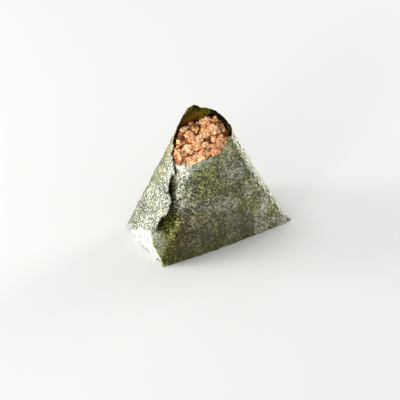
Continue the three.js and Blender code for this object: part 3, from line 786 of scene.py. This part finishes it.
def nori_paint():
    """Toasted nori: a felt of fine weed, from near black to olive and yellow green, with broader
    patches of green, brown and a dusty grey film, and browner and duller inside, where the brown is
    partly painted light, as if bounced off the salmon and shone through the sheet. Painted glints,
    sheen and light through the edges are laid over it as colours."""
    paint = Paint("nori")
    place = paint.place()
    noise, kept, over = paint.noise, paint.kept, paint.over
    shifted = paint.add("ShaderNodeVectorMath", {"operation": "MULTIPLY_ADD"},
                        {0: noise(place, 420.0, 2.0, "Color"), 1: (NORI_WARP * MM,) * 3, 2: place})
    shifted = paint.add("ShaderNodeVectorMath", {"operation": "MULTIPLY"},
                        {0: shifted, 1: NORI_STRETCH})

    def ridges(scale, detail):
        """How far a cloudy value is from 0.5."""
        return paint.add("ShaderNodeMath", {"operation": "ABSOLUTE"},
                         {0: noise(shifted, scale, detail) - 0.5})

    cells = paint.add("ShaderNodeTexVoronoi", {"feature": "F1"},
                      {"Vector": shifted, "Scale": 1350.0}, output="Color")
    flecks = paint.add("ShaderNodeSeparateColor", {}, {"Color": cells})
    grit = noise(shifted, 1050.0, 1.5)
    fibre = ridges(500.0, 2.0)
    fold = paint.fade(ridges(170.0, 3.0), 0.0, 0.045)
    pit = paint.fade(noise(shifted, 260.0, 2.0), 0.27, 0.36)
    clouds = noise(place, 120.0, 4.0)
    damp_and_shade = kept("damp_and_shade")
    glints_and_gloss = kept("glints_and_gloss")
    weave = (grit * 2.0 + flecks * 0.46 + fibre * 2.0 - 1.39) * (0.90 - damp_and_shade * 0.32)
    tone = weave + (clouds - 0.5) * (0.95 - damp_and_shade * 0.4) + fold * 0.07 + pit * 0.22
    # The pale mark carries the painted light and shade of the sheet's marks.
    tone = tone + kept("pale") + NORI_TONE
    olive = paint.ramp(tone, [
        (0.10, (0.014, 0.015, 0.0005)),
        (0.34, (0.060, 0.063, 0.006)),
        (0.52, (0.132, 0.136, 0.028)),
        (0.70, (0.222, 0.228, 0.080)),
        (0.92, (0.440, 0.442, 0.262)),
    ])
    grey = paint.ramp(tone, [
        (0.10, (0.018, 0.016, 0.005)),
        (0.34, (0.064, 0.060, 0.024)),
        (0.52, (0.138, 0.132, 0.070)),
        (0.70, (0.240, 0.232, 0.155)),
        (0.92, (0.450, 0.448, 0.360)),
    ])
    # The grey film takes in dust, and on the lower flap a painted sheen.
    filmed = noise(place, 62.0, 5.0) + kept("dust_and_sheen") * 0.14 - kept("moss") * 0.16
    filmed = paint.fade(filmed, 0.44, 0.62)
    colour = over(filmed, olive, grey)
    colour = over(kept("rust") * (clouds + 0.3), colour, RUST_TINT, "MULTIPLY")
    colour = over(kept("moss") * (clouds + 0.3), colour, MOSS_TINT, "MULTIPLY")
    thread = paint.fade(grit + fibre, 0.56, 0.72)
    # Painted glints: silvery threads over the front left corner.
    colour = over(glints_and_gloss * thread * 0.66, colour, PAINTED_GLINT_COLOUR)
    # Painted sheen: bluish grey over the top edge at the front left corner and over the flap.
    colour = over(kept("painted_sheen") * (grit + 0.1), colour, BLUE_PAINTED_SHEEN)
    colour = over(kept("milk") * (thread * 0.65 + 0.12), colour, MILKY_FILM)
    # Inside, the brown stands partly for painted light bounced off the salmon and shone through the
    # sheet.
    within = kept("inner")
    brown = paint.ramp(weave * 0.6 + clouds * 1.8 - 0.42, [
        (0.28, (0.006, 0.005, 0.0004)),
        (0.48, (0.020, 0.017, 0.001)),
        (0.66, (0.070, 0.063, 0.005)),
        (0.90, (0.300, 0.280, 0.045)),
    ])
    brown = over(kept("stain") * (clouds + 0.3), brown, SALMON_JUICE)
    colour = over(within, colour, brown)
    # Painted light: yellow green along the edges that look lit through.
    colour = over(kept("glow") * 0.5, colour, LIT_THROUGH)
    relief = (grit + flecks * 0.25 + fibre + fold * 0.12) * (1.0 - damp_and_shade * 0.4)
    bump = paint.bump(1.0, 0.6, relief)
    shiny = paint.shader({
        "Base Color": colour,
        "Roughness": grit * 0.4 - filmed * 0.06 + damp_and_shade * 0.14 - glints_and_gloss * 0.12 + 0.14,
        "Normal": bump,
        "Specular IOR Level": 0.6,
    })
    dull = paint.shader({
        "Base Color": colour,
        "Roughness": 0.8,
        "Normal": bump,
        "Specular IOR Level": 0.04,
    })
    shares = {0: within + kept("dull"), 1: shiny, 2: dull}
    return paint.finish(paint.add("ShaderNodeMixShader", sockets=shares))


nori_faces, nori_marks = nori_sheet()
nori = new_piece("nori_sheet", nori_faces, [sheet_faces(NORI_ROWS, NORI_COLUMNS)], nori_paint(), "nori")
for mark, numbers in nori_marks.items():
    keep(nori, mark, np.stack([numbers, numbers]))
keep(nori, "inner", np.arange(nori_faces[..., 0].size) >= nori_faces[0, ..., 0].size)

# ---- the rice's grains, now that the nori's edges say where they show ----

GRAIN_ROW = 2.3
GRAIN_STEP = 3.4
GRAIN_JOSTLE = 0.45
GRAIN_TURN = 1.3
GRAIN_RISE = 0.35
GRAIN_LONGER, GRAIN_THICKER = (0.86, 1.14), (0.9, 1.1)
GRAIN_TIP = 0.2
GRAIN_SINK = 0.55
GRAIN_UNEVEN = 0.35
GRAIN_OFF_TABLE = 0.15
GRAIN_LEAST_HIGH = 0.05
GRAIN_PAINTED_SHADE, GRAIN_PAINTED_SHADE_DOWN = 0.55, (-0.1, 0.9)

# They lie from the back round to the front left corner, and a little way in under the nori.
GRAINS_FROM, GRAINS_TO = 4.9, 8.8
GRAINS_LOW, GRAINS_HIGH = 1.6, 30.0
PATH_FROM, PATH_HEIGHT, PATH_STEPS = 4.6, 8.0, 2000
UNDER_NORI = 4.0
INNER_END_TALL = 55.0
PAST_INNER_END = 0.1
COVERED_BY = 1.5
COVERED_SINK = 0.75
FOOT_SINK, FOOT_SINK_TALL = 1.6, 3.2

grain_draw = np.random.default_rng(2)
path_stations = np.linspace(PATH_FROM, GRAINS_TO, PATH_STEPS)
path = np.linalg.norm(np.diff(outline(path_stations, PATH_HEIGHT), axis=0), axis=1).cumsum()
grain_way, grain_height = np.meshgrid(
    np.arange(0.0, path[-1], GRAIN_STEP), np.arange(GRAINS_LOW, GRAINS_HIGH, GRAIN_ROW))
shape = grain_way.shape
grain_way = grain_way + GRAIN_STEP * grain_draw.uniform(-GRAIN_JOSTLE, GRAIN_JOSTLE, shape)
grain_height = grain_height + GRAIN_ROW * grain_draw.uniform(-GRAIN_JOSTLE, GRAIN_JOSTLE, shape)
grain_station = np.interp(grain_way, np.concatenate([[0], path]), path_stations)
grain_angle = grain_draw.uniform(-GRAIN_TURN, GRAIN_TURN, shape)
half_rise = 0.5 * GRAIN_LONG * np.abs(np.sin(grain_angle)) + GRAIN_RISE * GRAIN_THICK
grain_height = np.maximum(grain_height, half_rise + GRAIN_OFF_TABLE)
inner_end = STATIONS + through(INNER_END, grain_height / INNER_END_TALL)
shows = grain_height < through(FOOT_EDGE, grain_station) + UNDER_NORI
shows &= (grain_station < inner_end + PAST_INNER_END) & (grain_station > GRAINS_FROM)
grain_station, grain_height = grain_station[shows], grain_height[shows]
grain_angle = grain_angle[shows]
covered = grain_height > through(FOOT_EDGE, grain_station) - COVERED_BY
sink = GRAIN_SINK + grain_draw.uniform(-GRAIN_UNEVEN, GRAIN_UNEVEN, len(grain_station))
sink = sink + COVERED_SINK * covered + FOOT_SINK * bell(grain_height, FOOT_SINK_TALL)
tip = grain_draw.uniform(-GRAIN_TIP, GRAIN_TIP, len(grain_station))

# A handful more lie on the block's front left corner, where neither nori nor salmon covers it.
CORNER_GRAINS = 40
CORNER_FROM, CORNER_TO = 7.5, 8.9
CORNER_HEIGHT, CORNER_RISE, CORNER_RISES = 58.4, 1.8, (0.5, 2.5)
CORNER_SINK = (0.5, 6.0)
CORNER_TURN = 0.5
CORNER_TIP = 0.35

corner_sink = grain_draw.uniform(*CORNER_SINK, CORNER_GRAINS)
corner_station = grain_draw.uniform(CORNER_FROM, CORNER_TO, CORNER_GRAINS)
corner_height = CORNER_HEIGHT + CORNER_RISE * smooth(corner_sink, *CORNER_RISES)
grain_station = np.append(grain_station, corner_station)
grain_height = np.append(grain_height, corner_height)
grain_angle = np.append(grain_angle, grain_draw.uniform(-CORNER_TURN, CORNER_TURN, CORNER_GRAINS))
sink = np.append(sink, corner_sink)
tip = np.append(tip, grain_draw.uniform(-CORNER_TIP, CORNER_TIP, CORNER_GRAINS))
centres, frames = skin_frames(grain_station, grain_height, RICE_INSET + sink, grain_angle, tip)
grain_size = np.stack([
    GRAIN_LONG / 2 * grain_draw.uniform(*GRAIN_LONGER, len(centres)),
    GRAIN_THICK / 2 * grain_draw.uniform(*GRAIN_THICKER, len(centres)),
    GRAIN_THICK / 2 * grain_draw.uniform(*GRAIN_THICKER, len(centres)),
], -1)
grain_points, grain_faces = scatter(
    grain_template(), ring_faces(GRAIN_RINGS, GRAIN_AROUND), centres, frames, grain_size)
grain_points[..., 2] += np.maximum(GRAIN_LEAST_HIGH - grain_points[..., 2].min(1), 0.0)[:, None]
grains = new_piece("rice_grains", grain_points, grain_faces, rice_material, "rice")
# Painted shade: the underside of each grain gets the darker, shaded rice colour.
grain_painted_shade = GRAIN_PAINTED_SHADE * smooth(-grain_template()[:, 2], *GRAIN_PAINTED_SHADE_DOWN)
keep(grains, "deep", grain_painted_shade * np.ones((len(centres), 1)))


# ==== filling ===================================================================================
# Cooked salmon flaked into moist crumbs of 1 to 3 mm that stick together in loose clumps, heaped
# into the nori's open top and rising a little towards the back.

FILLING_LEVEL = 66.3
FILLING_LEAST = 62.2
FILLING_SKEW = 0.05
FILLING_SKEW_FROM = -4.0
MOUND_PLACE = (9.0, 8.0)
MOUND_HIGH = 5.0
MOUND_WIDE = 5.5
DENT_PLACE = (14.0, -1.0)
DENT_DEEP = 4.6
DENT_WIDE = 5.2
FILLING_EDGE_DROP = 1.4
FILLING_CORNER_DROP = 3.6
FILLING_CORNER_WIDE = 9.0
FILLING_CORNER_STATION = 0.2
FILLING_INSET = 2.0


def filling_surface(x, y, edge):
    """Height of the heap: level + slope * y + rise * y^2 + skew * x and a mound at the back right,
    less a drop with the cube of the share of the way to the wrap, a dip at the front left corner
    and a dent at the right. Mound, dip and dent are bells."""
    dip = outline(FILLING_CORNER_STATION, FILLING_LEVEL)
    low = FILLING_CORNER_DROP * bell(np.hypot(x - dip[0], y - dip[1]), FILLING_CORNER_WIDE)
    mound = MOUND_HIGH * bell(np.hypot(x - MOUND_PLACE[0], y - MOUND_PLACE[1]), MOUND_WIDE)
    dent = DENT_DEEP * bell(np.hypot(x - DENT_PLACE[0], y - DENT_PLACE[1]), DENT_WIDE)
    skew = FILLING_SKEW * (x - FILLING_SKEW_FROM)
    plane = FILLING_LEVEL + FILLING_SLOPE * y + FILLING_RISE * y ** 2 + skew
    return np.maximum(plane + mound - low - dent - FILLING_EDGE_DROP * edge ** 3, FILLING_LEAST)


CLUMP_STEP = 6.0
CLUMP_ROW = 0.87
CLUMP_ROWS, CLUMP_COLUMNS = 4, 5
CLUMP_JOSTLE = 0.33
CLUMP_UNEVEN = (-1.0, 1.2)
CLUMP_LEAST, CLUMP_MOST = 2.4, 3.9
CLUMP_CREVICE = 4.0
CREVICE_LEAST = FILLING_LEAST - 0.8
NO_DOME = -1.0

crumb_draw = np.random.default_rng(4)
bed_centre = middle(FILLING_LEVEL)
clump_row, clump_column = np.meshgrid(
    np.arange(-CLUMP_ROWS, CLUMP_ROWS + 1), np.arange(-CLUMP_COLUMNS, CLUMP_COLUMNS + 1))
clump_x = bed_centre[0] + CLUMP_STEP * (clump_column + 0.5 * (clump_row % 2))
clump_y = bed_centre[1] + CLUMP_STEP * CLUMP_ROW * clump_row
clump_x = clump_x + CLUMP_STEP * crumb_draw.uniform(-CLUMP_JOSTLE, CLUMP_JOSTLE, clump_x.shape)
clump_y = clump_y + CLUMP_STEP * crumb_draw.uniform(-CLUMP_JOSTLE, CLUMP_JOSTLE, clump_y.shape)
clump_x, clump_y = clump_x.ravel(), clump_y.ravel()
clump_top = filling_surface(clump_x, clump_y, 0.0) + crumb_draw.uniform(*CLUMP_UNEVEN, clump_x.size)
clump_round = crumb_draw.uniform(CLUMP_LEAST, CLUMP_MOST, clump_x.size)
clump_tone = crumb_draw.uniform(0, 1, clump_x.size)


def clumps_under(x, y):
    """Height of the clumps at a place, the highest of domes top - r + sqrt(r^2 - d^2) and of the
    crevices' floor, and which dome that is."""
    away = np.hypot(x[..., None] - clump_x, y[..., None] - clump_y)
    dome = clump_top - clump_round + np.sqrt(np.maximum(clump_round ** 2 - away ** 2, 0.0))
    dome = np.where(away < clump_round, dome, NO_DOME)
    crevice = np.maximum(filling_surface(x, y, 0.0) - CLUMP_CREVICE, CREVICE_LEAST)
    return np.maximum(dome.max(-1), crevice), dome.argmax(-1)


BED_RINGS = 60
BED_AROUND = 180
BED_DEEP = 0.7
BED_LEAST = 60.8
BED_FOOT = RICE_TOP + 0.3
BED_FOOT_INSET = FILLING_INSET + 2.6
BED_SETTLES = 6

bed_stations = np.linspace(0, STATIONS, BED_AROUND, endpoint=False)
bed_brim = outline(bed_stations, FILLING_LEVEL, FILLING_INSET)
for settle in range(BED_SETTLES):
    brim_height = filling_surface(bed_brim[:, 0], bed_brim[:, 1], 1.0)
    bed_brim = outline(bed_stations, brim_height, FILLING_INSET)
bed_share = np.linspace(1, 0, BED_RINGS, endpoint=False)[:, None]
bed_x = bed_centre[0] + (bed_brim[:, 0] - bed_centre[0]) * bed_share
bed_y = bed_centre[1] + (bed_brim[:, 1] - bed_centre[1]) * bed_share
bed_z = clumps_under(bed_x, bed_y)[0] - BED_DEEP - FILLING_EDGE_DROP * bed_share ** 3
bed_z = np.maximum(bed_z, BED_LEAST)
bed_top = np.stack([bed_x, bed_y, bed_z], -1)
bed_foot = outline(bed_stations, BED_FOOT, BED_FOOT_INSET)[None]
bed_rings = np.concatenate([bed_foot, bed_top])
bed_points = np.concatenate([
    [middle(BED_FOOT)], bed_rings.reshape(-1, 3),
    [(bed_centre[0], bed_centre[1], bed_z[-1].mean())]])


# Painted shade: a deep brown laid over crumbs that lie deep or face down, and over the bed.
SALMON_SHADE = (0.27, 0.072, 0.007, 1.0)
BED_TONE = 0.3
BED_SHADE = 0.85


def salmon_paint():
    """Flaked salmon: pink tan to orange from crumb to crumb, with painted shade, a deep brown, between
    and under them, moist.
    """
    paint = Paint("salmon")
    place = paint.place()
    fibre = paint.noise(place, 1300.0, 3.0)
    tone = paint.kept("tone") * 0.7 + paint.noise(place, 330.0, 3.0) * 0.7 + fibre * 0.9 - 0.56
    colour = paint.ramp(tone, [
        (0.15, (0.66, 0.210, 0.035)),
        (0.38, (0.90, 0.390, 0.150)),
        (0.58, (1.00, 0.515, 0.275)),
        (0.80, (1.00, 0.630, 0.375)),
    ])
    return paint.finish(paint.shader({
        "Base Color": paint.over(paint.kept("depth"), colour, SALMON_SHADE),
        "Roughness": fibre * 0.3 + 0.42,
        "Normal": paint.bump(1.0, 0.5, fibre),
        "Specular IOR Level": 0.2,
        "Subsurface Weight": 0.4,
        "Subsurface Radius": (1.0, 0.42, 0.2),
        "Subsurface Scale": 1.5 * MM,
    }))


salmon_material = salmon_paint()
bed_faces = ring_faces(BED_RINGS + 1, BED_AROUND)
bed = new_piece("salmon_bed", bed_points, bed_faces, salmon_material, "filling")
keep(bed, "tone", np.full(len(bed_points), BED_TONE))
keep(bed, "depth", np.full(len(bed_points), BED_SHADE))

# Crumbs lie in rows in two layers, shaken out of place, and follow the clumps under them.
CRUMB_STEP = 1.18
CRUMB_ROWS, CRUMB_COLUMNS, CRUMB_LAYERS = 18, 21, 2
CRUMB_JOSTLE = 0.5
CRUMB_LEAST, CRUMB_MOST = 1.1, 2.6
CRUMB_MOSTLY_SMALL = 1.8
CRUMB_SINK = (-0.25, 0.1)
CRUMB_LAYER_SINK = 0.35
CRUMB_HEAVE = 0.5
CRUMB_HEAVE_LONG = 4.5
CRUMB_HEAVE_MOST = 0.25
CRUMB_HIGHEST = 1.6
CRUMB_TONE, CRUMB_TONE_OF_CLUMP = 0.45, 0.55

row, column, layer = np.meshgrid(
    np.arange(-CRUMB_ROWS, CRUMB_ROWS + 1), np.arange(-CRUMB_COLUMNS, CRUMB_COLUMNS + 1),
    np.arange(CRUMB_LAYERS), indexing="ij")
crumb_x = column + 0.5 * (row % 2) + crumb_draw.uniform(-CRUMB_JOSTLE, CRUMB_JOSTLE, row.shape)
crumb_x = bed_centre[0] + CRUMB_STEP * crumb_x
crumb_y = row + crumb_draw.uniform(-CRUMB_JOSTLE, CRUMB_JOSTLE, row.shape)
crumb_y = bed_centre[1] + CRUMB_STEP * crumb_y
crumb_size = crumb_draw.uniform(0, 1, row.shape) ** CRUMB_MOSTLY_SMALL
crumb_size = CRUMB_LEAST + (CRUMB_MOST - CRUMB_LEAST) * crumb_size
under, crumb_clump = clumps_under(crumb_x, crumb_y)
crumb_sink = crumb_draw.uniform(*CRUMB_SINK, row.shape) - CRUMB_LAYER_SINK * layer
crumb_z = under + crumb_size * crumb_sink
lying = np.stack([crumb_x, crumb_y, crumb_z], -1)
heave = CRUMB_HEAVE * waves(lying, CRUMB_HEAVE_LONG, count=30, seed=21)
crumb_z = crumb_z + np.minimum(heave, CRUMB_HEAVE_MOST * crumb_size)
crumb_centres = np.stack([crumb_x, crumb_y, crumb_z], -1).reshape(-1, 3)
crumb_size = crumb_size.ravel()
crumb_tone = crumb_draw.uniform(0, CRUMB_TONE, crumb_size.size)
crumb_tone = clump_tone[crumb_clump.ravel()] * CRUMB_TONE_OF_CLUMP + crumb_tone


RING_STEPS = 96
ring_stations = np.linspace(0, STATIONS, RING_STEPS, endpoint=False)


def inside(points, inset):
    """Which points lie inside the wrap at their own height: on the inner side of the chord of its
    ring that they are seen through from the middle."""
    ring = outline(ring_stations[None, :], points[:, 2:3], inset)
    ring = ring[..., :2] - bed_centre[:2]
    ahead = np.roll(ring, -1, axis=1)
    point = (points[:, :2] - bed_centre[:2])[:, None, :]

    def turn(a, b):
        """Positive where b lies to the left of a."""
        return a[..., 0] * b[..., 1] - a[..., 1] * b[..., 0]

    seen = (turn(ring, point) >= 0) & (turn(point, ahead) > 0)
    return (seen & (turn(ahead - ring, point - ring) > 0)).any(1)


# They reach out to the lap on the left and lie back from the front left corner.
CRUMB_INSET = RICE_INSET + 0.9
LIE_BACK, LIE_BACK_STATION, LIE_BACK_WIDE = 1.9, 0.3, 0.45
REACH_OUT, REACH_OUT_FROM, REACH_OUT_TO = 1.4, (7.0, 7.4), (7.7, 8.0)

past_corner = np.mod(ring_stations + 1, STATIONS) - 1
lie_back = LIE_BACK * bell(past_corner - LIE_BACK_STATION, LIE_BACK_WIDE)
reach_out = smooth(ring_stations, *REACH_OUT_FROM) * (1 - smooth(ring_stations, *REACH_OUT_TO))
kept = inside(crumb_centres, CRUMB_INSET + lie_back - REACH_OUT * reach_out)
above = crumb_centres[:, 2] - filling_surface(crumb_centres[:, 0], crumb_centres[:, 1], 0.0)
kept &= above < CRUMB_HIGHEST
crumb_centres, crumb_tone, crumb_size = crumb_centres[kept], crumb_tone[kept], crumb_size[kept]

# A few more fill the crack along the lap.
RIM_CRUMBS = 80
RIM_STATIONS = (6.7, 8.05)
RIM_HEIGHTS = (61.0, 65.6)
RIM_INSET, RIM_INSET_BEFORE = 1.1, 0.9
RIM_TONES = (0.2, 0.9)
RIM_SIZES = (1.3, 2.1)

rim_station = crumb_draw.uniform(*RIM_STATIONS, RIM_CRUMBS)
rim_height = crumb_draw.uniform(*RIM_HEIGHTS, RIM_CRUMBS)
rim_inset = RIM_INSET + RIM_INSET_BEFORE * (1 - smooth(rim_station, *REACH_OUT_FROM))
crumb_centres = np.concatenate([crumb_centres, outline(rim_station, rim_height, rim_inset)])
crumb_tone = np.append(crumb_tone, crumb_draw.uniform(*RIM_TONES, RIM_CRUMBS))
crumb_size = np.append(crumb_size, crumb_draw.uniform(*RIM_SIZES, RIM_CRUMBS))

# A crumb is a ball whose radius is 1 + rough * a sum of sines over its directions, stretched.
CRUMB_AROUND = 10
CRUMB_RINGS = 6
CRUMB_KNOBS = 7
CRUMB_KNOBBLY = 3.1
CRUMB_ROUGH = 0.13
CRUMB_STRETCH = (0.78, 1.28)

count = len(crumb_centres)
polar = np.linspace(0, np.pi, CRUMB_RINGS + 2)[1:-1][:, None]
round_it = np.linspace(0, 2 * np.pi, CRUMB_AROUND, endpoint=False)[None, :]
ball = np.stack([
    np.sin(polar) * np.cos(round_it),
    np.sin(polar) * np.sin(round_it),
    -np.cos(polar) + 0 * round_it,
], -1).reshape(-1, 3)
ball = np.concatenate([[(0, 0, -1)], ball, [(0, 0, 1)]])
knobs = crumb_draw.normal(size=(count, CRUMB_KNOBS, 3)) * CRUMB_KNOBBLY
phases = crumb_draw.uniform(0, 2 * np.pi, (count, CRUMB_KNOBS))
lumpy = np.sin(np.einsum("vk,njk->nvj", ball, knobs) + phases[:, None, :]).sum(-1)
lumps = ball * (1 + CRUMB_ROUGH * lumpy)[..., None]
half_sizes = crumb_draw.uniform(*CRUMB_STRETCH, (count, 3)) * crumb_size[:, None] / 2
turns = np.linalg.qr(crumb_draw.normal(size=(count, 3, 3)))[0]
turns *= np.sign(np.linalg.det(turns))[:, None, None]
crumb_points, crumb_faces = scatter(
    lumps, ring_faces(CRUMB_RINGS, CRUMB_AROUND), crumb_centres, turns, half_sizes)
flakes = new_piece("salmon_flakes", crumb_points, crumb_faces, salmon_material, "filling")

# Painted shade: crumbs get the deep brown with depth, in mm under the heap's surface, and more on a
# crumb's underside. Some places get painted shadow as if they lay deeper, as (place, width, mm): the
# dent, the back left, low against the nori, and the lap.
UNDERSIDE = 1.7
SHADOWED_PLACES = [
    (DENT_PLACE, DENT_WIDE, 3.0), ((-13.0, 13.5), 8.0, 3.0), ((-23.5, -2.0), 5.0, 6.5),
]
SHADE_DOWN = (0.7, 3.7)
SHADE_MOST = 0.95

x, y, z = np.moveaxis(crumb_points, -1, 0)
crumb_depth = filling_surface(x, y, 0.0) - z + UNDERSIDE * (crumb_centres[:, None, 2] - z)
for place, wide, deeper in SHADOWED_PLACES:
    crumb_depth = crumb_depth + deeper * bell(np.hypot(x - place[0], y - place[1]), wide)
keep(flakes, "tone", np.repeat(crumb_tone, len(ball)))
keep(flakes, "depth", smooth(crumb_depth, *SHADE_DOWN) * SHADE_MOST)
